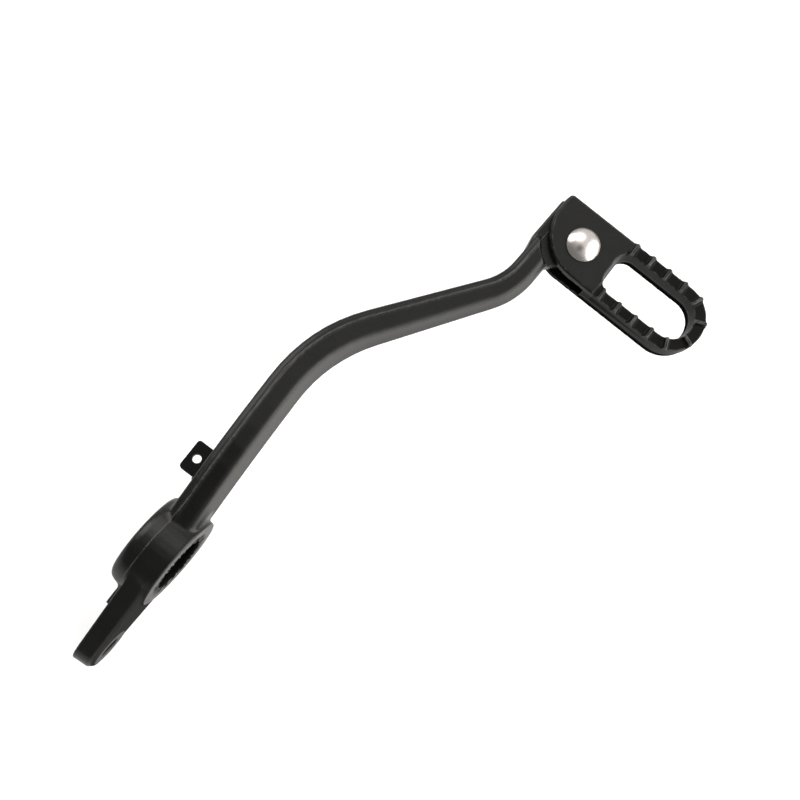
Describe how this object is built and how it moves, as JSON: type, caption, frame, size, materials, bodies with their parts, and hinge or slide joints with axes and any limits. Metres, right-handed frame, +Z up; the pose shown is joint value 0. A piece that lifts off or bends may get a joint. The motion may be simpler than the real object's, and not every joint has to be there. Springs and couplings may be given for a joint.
{
  "type": "rear brake pedal",
  "caption": "Forged motorbike rear brake pedal with a pivot boss, lower arm and a toothed toe piece that folds rearward on a sprung rivet",
  "frame": {"origin": "centre of the pivot bore, midway between the boss's two faces", "axes": "+X forward along the pedal, +Y inboard towards the bike, +Z up, as the pedal sits on the bike's right side"},
  "size_m": [0.241, 0.111, 0.056],
  "materials": {
    "forging_paint": "satin black paint over forged steel",
    "tab_paint": "black paint over sheet steel",
    "casting_paint": "satin black paint over a casting, worn at the edges",
    "stainless": "polished stainless steel",
    "plated_washer": "zinc plated steel",
    "spring_wire": "bright spring wire"
  },
  "bodies": {
    "lever": {"lever_forging": "forging_paint", "spring_tab": "tab_paint", "tab_weld": "forging_paint", "return_spring": "spring_wire"},
    "toe": {"toe_piece": "casting_paint", "hinge_rivet": "stainless", "tail_washer": "plated_washer"}
  },
  "joints": [
    {"name": "toe_fold", "type": "hinge", "parent": "lever", "child": "toe", "pos_m": [0.1775, -0.0434, 0.0137], "axis": [0, 0.1045, -0.9945], "range_deg": [0, 45], "stiffness_Nm_per_rad": 0.4, "springref_deg": -22.92, "deforming": ["return_spring"]}
  ]
}
